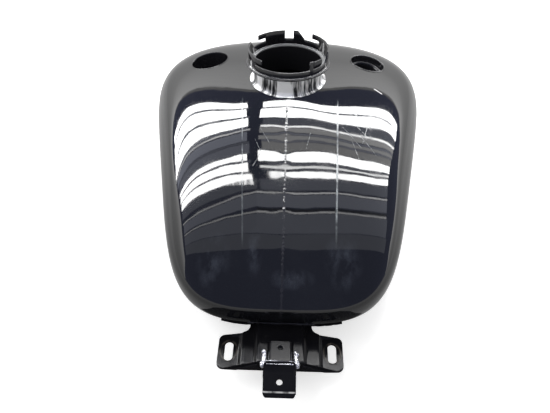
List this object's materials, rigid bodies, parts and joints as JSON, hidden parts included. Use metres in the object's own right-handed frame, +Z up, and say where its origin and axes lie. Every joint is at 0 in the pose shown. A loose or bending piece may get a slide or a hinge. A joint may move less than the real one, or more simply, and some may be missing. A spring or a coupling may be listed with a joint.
{
  "type": "motorcycle fuel tank",
  "caption": "Wide saddle fuel tank shell for a cruiser motorcycle, with a cam-ring pump neck, filler well, gauge cup, frame tunnel and slotted rear bracket.",
  "frame": {"origin": "on the ground under the middle of the length and width, with the tank standing on its flange", "axes": "+Z up, +Y to the front of the motorcycle, +X to the rider's right"},
  "size_m": [0.3898, 0.6008, 0.2065],
  "materials": {
    "black_paint": "gloss black enamel, worn",
    "bare_weld": "rough weld bead with thin paint",
    "zinc_steel": "dull zinc plate",
    "inner_steel": "bare, oily sheet steel",
    "seat_rubber": "grey moulded seal"
  },
  "bodies": {
    "root": {"left_shell": "black_paint", "right_shell": "black_paint", "left_floor_pan": "black_paint", "right_floor_pan": "black_paint", "saddle_tunnel": "black_paint", "top_seam_weld": "black_paint", "pump_neck_collar": "black_paint", "pump_neck_weld": "black_paint", "pump_cam_ring": "black_paint", "pump_seal_seat": "seat_rubber", "filler_neck": "black_paint", "filler_seat_ring": "inner_steel", "gauge_cup": "black_paint", "gauge_wire_conduit": "inner_steel", "rear_mount_bracket": "black_paint", "console_tab": "black_paint", "console_tab_welds": "bare_weld", "rear_bracket_welds": "bare_weld", "rear_reinforcement_plate": "black_paint", "front_weld_nut_right": "zinc_steel", "front_weld_nut_left": "zinc_steel", "front_mount_bridge": "black_paint", "vent_tube": "inner_steel", "vent_nipple": "zinc_steel", "front_baffle": "inner_steel", "rear_baffle": "inner_steel"}
  },
  "joints": []
}
